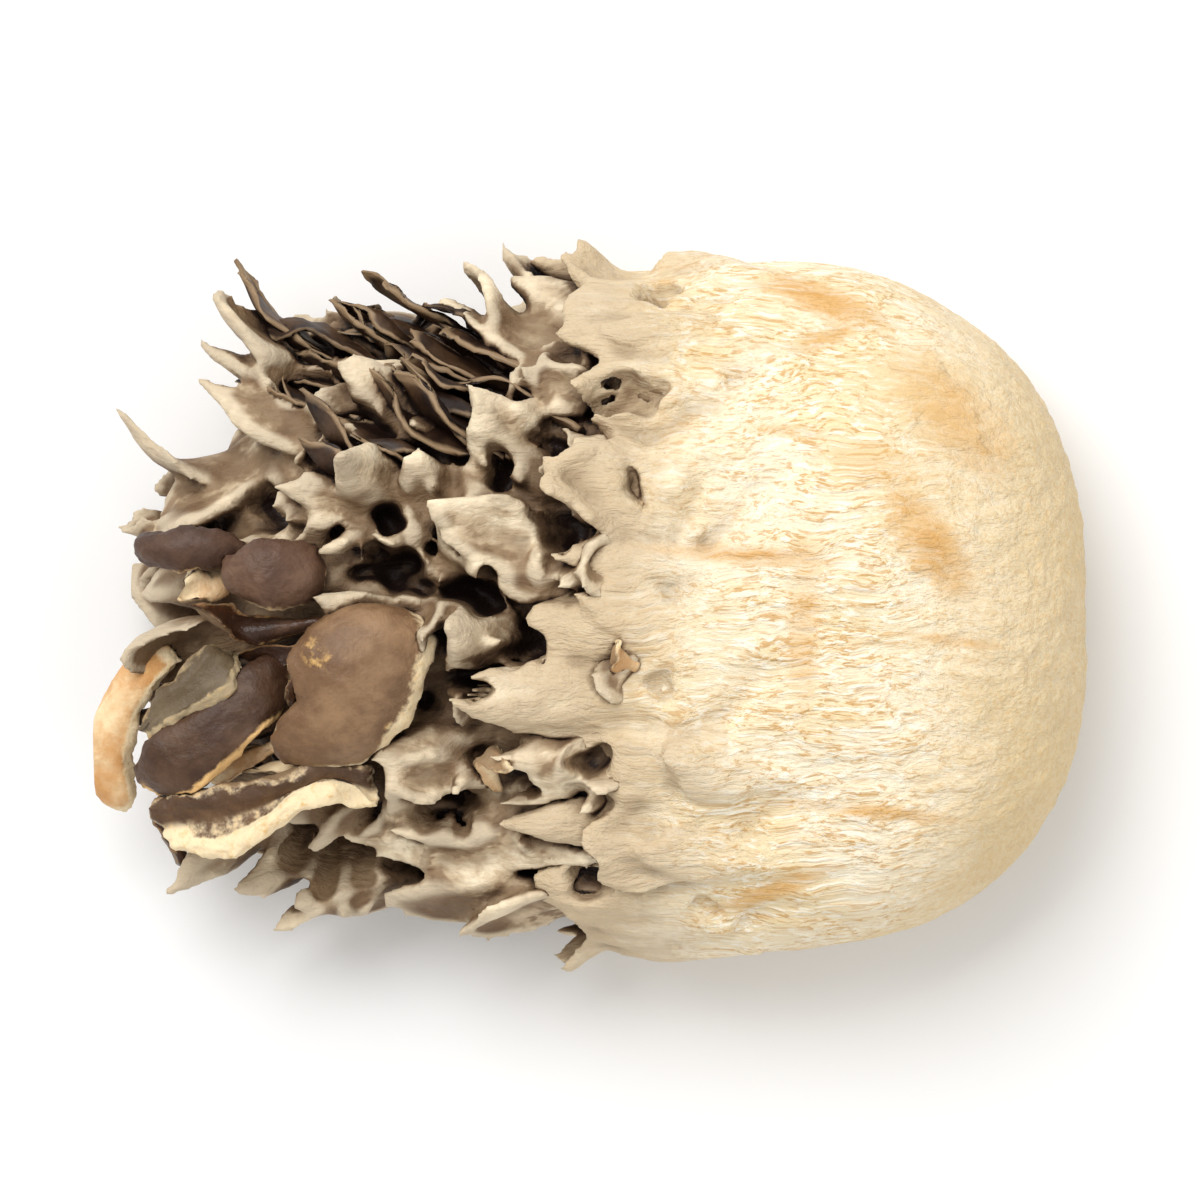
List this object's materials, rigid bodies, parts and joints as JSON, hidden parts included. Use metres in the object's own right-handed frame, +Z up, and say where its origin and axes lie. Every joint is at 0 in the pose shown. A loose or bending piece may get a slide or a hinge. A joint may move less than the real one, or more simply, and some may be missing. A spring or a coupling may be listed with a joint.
{
  "type": "dried maitake mushroom clump",
  "caption": "Dried maitake clump lying on its side, with a thick cream stem base that breaks up into grey-brown fronds and larger curled brown caps.",
  "frame": {"origin": "middle of the flat spot that the clump lies on, under the middle of the thick end of the stem base", "axes": "+Z up from the surface it lies on, +X towards the thick round end, -X towards the fronds"},
  "size_m": [0.0697, 0.0517, 0.0253],
  "materials": {
    "stem_flesh": "dry matt fibrous flesh, cream with ochre stains",
    "frond_flesh": "dry matt flesh, grey-brown with pale edges and dark hollows",
    "cap_skin": "dry leathery skin, brown with a cream rim"
  },
  "bodies": {
    "root": {"stem_base": "stem_flesh", "small_fronds": "frond_flesh", "taupe_cap": "cap_skin", "long_dark_cap": "cap_skin", "grey_lobe_cap": "cap_skin", "curled_rim_cap": "cap_skin", "rolled_cap": "cap_skin", "oval_cap": "cap_skin", "small_oval_cap": "cap_skin"}
  },
  "joints": []
}
